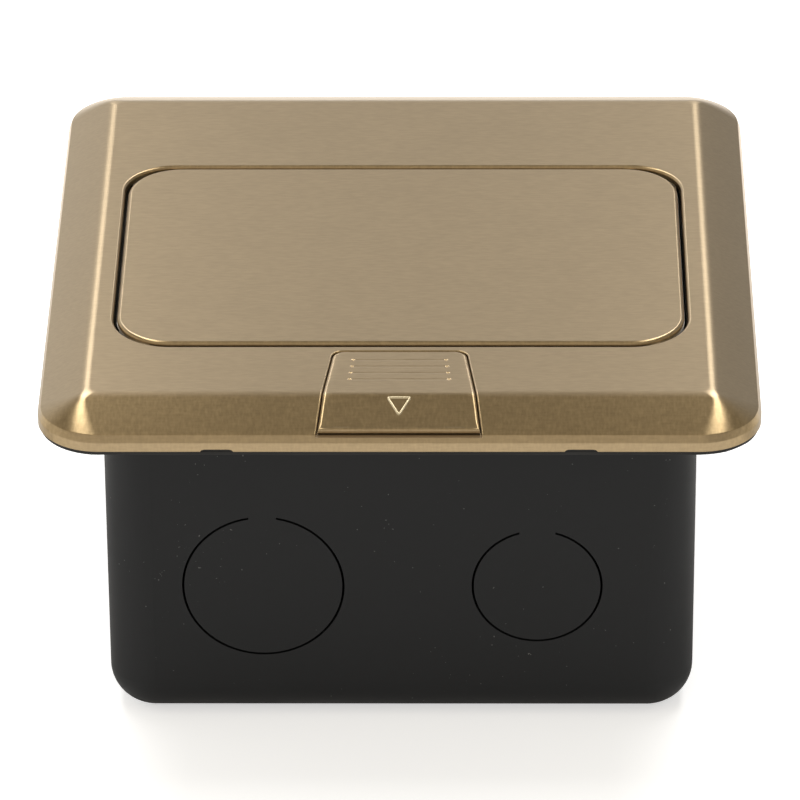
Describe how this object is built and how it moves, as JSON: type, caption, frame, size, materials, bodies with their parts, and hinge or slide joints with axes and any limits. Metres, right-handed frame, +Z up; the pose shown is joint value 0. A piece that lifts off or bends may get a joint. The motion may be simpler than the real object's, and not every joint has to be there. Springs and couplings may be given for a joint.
{
  "type": "floor socket box",
  "caption": "Pop-up floor socket box: bevelled brushed brass cover plate with a flush sprung lid and release button over a black steel back box; the lid lifts outlets up to the user.",
  "frame": {"origin": "centre of the back box's underside", "axes": "+Z up out of the floor, +X to the right, the release button at the front towards -Y"},
  "size_m": [0.12, 0.12, 0.0657],
  "materials": {
    "plate_brass": "brushed brass with an antique bronze tone, clear lacquer",
    "lid_brass": "brushed brass with an antique bronze tone, clear lacquer",
    "button_brass": "brushed brass with an antique bronze tone, clear lacquer",
    "black_steel": "matte black powder coat, lightly scuffed",
    "gasket_rubber": "black moulded rubber",
    "galvanised_steel": "zinc plated pressed steel",
    "zinc_screws": "bright zinc plated fasteners",
    "spring_steel": "oiled spring steel wire and strip",
    "guide_plastic": "black moulded acetal",
    "outlet_plastic": "white glossy outlet plastic",
    "housing_plastic": "grey moulded housing plastic",
    "contact_brass": "bright brass contacts",
    "contact_gold": "gold plated spring contacts"
  },
  "bodies": {
    "root": {"back_box": "black_steel", "box_lugs": "black_steel", "earth_washer": "contact_brass", "earth_screw": "contact_brass", "chassis": "galvanised_steel", "box_screws": "zinc_screws", "chassis_screws": "zinc_screws", "bracket_screws": "zinc_screws", "guide_screws": "zinc_screws", "cover_plate": "plate_brass", "gasket": "gasket_rubber", "hinge_bracket_left": "galvanised_steel", "hinge_bracket_right": "galvanised_steel", "hinge_rod": "zinc_screws", "rod_clips": "spring_steel", "hinge_spring_left": "spring_steel", "hinge_spring_right": "spring_steel", "lid_buffers": "gasket_rubber", "latch_guide": "guide_plastic", "button_spring_left": "spring_steel", "button_spring_right": "spring_steel"},
    "button": {"button_cap": "button_brass", "latch_slider": "galvanised_steel", "slider_screws": "zinc_screws", "latch_tongue": "spring_steel", "tongue_rivets": "zinc_screws"},
    "lid": {"lid_plate": "lid_brass", "lid_nuts": "zinc_screws", "cheek_left": "galvanised_steel", "cheek_right": "galvanised_steel", "stop_pins": "zinc_screws", "carrier_rivets": "zinc_screws", "module_frame": "galvanised_steel", "socket_insert": "outlet_plastic", "socket_base": "housing_plastic", "live_contact": "contact_brass", "neutral_contact": "contact_brass", "earth_strap": "contact_brass", "terminal_screws": "zinc_screws", "shutter_spring": "spring_steel", "jack_plate": "outlet_plastic", "jack_body": "guide_plastic", "jack_contacts": "contact_gold", "jack_spring": "spring_steel", "rear_cover": "guide_plastic", "cable_clamp": "guide_plastic", "clamp_screws": "zinc_screws", "lid_keeper": "galvanised_steel"},
    "outlet_shutter": {"socket_shutter": "housing_plastic"},
    "data_shutter": {"jack_shutter": "outlet_plastic"}
  },
  "joints": [
    {"name": "lid_hinge", "type": "hinge", "parent": "root", "child": "lid", "pos_m": [0, 0.0189, 0.06205], "axis": [-1, 0, 0], "range_deg": [0, 60], "deforming": ["hinge_spring_left", "hinge_spring_right", "latch_tongue"]},
    {"name": "button_slide", "type": "slide", "parent": "root", "child": "button", "axis": [0, -1, 0], "range_m": [0, 0.0025], "stiffness_N_per_m": 600, "springref_m": -0.003, "deforming": ["button_spring_left", "button_spring_right"]},
    {"name": "outlet_shutter_slide", "type": "slide", "parent": "lid", "child": "outlet_shutter", "axis": [-1, 0, 0], "range_m": [0, 0.006], "stiffness_N_per_m": 100, "springref_m": -0.004, "deforming": ["shutter_spring"]},
    {"name": "data_shutter_slide", "type": "slide", "parent": "lid", "child": "data_shutter", "axis": [0, 0, 1], "range_m": [0, 0.009], "stiffness_N_per_m": 60, "springref_m": -0.004, "deforming": ["jack_spring"]}
  ]
}
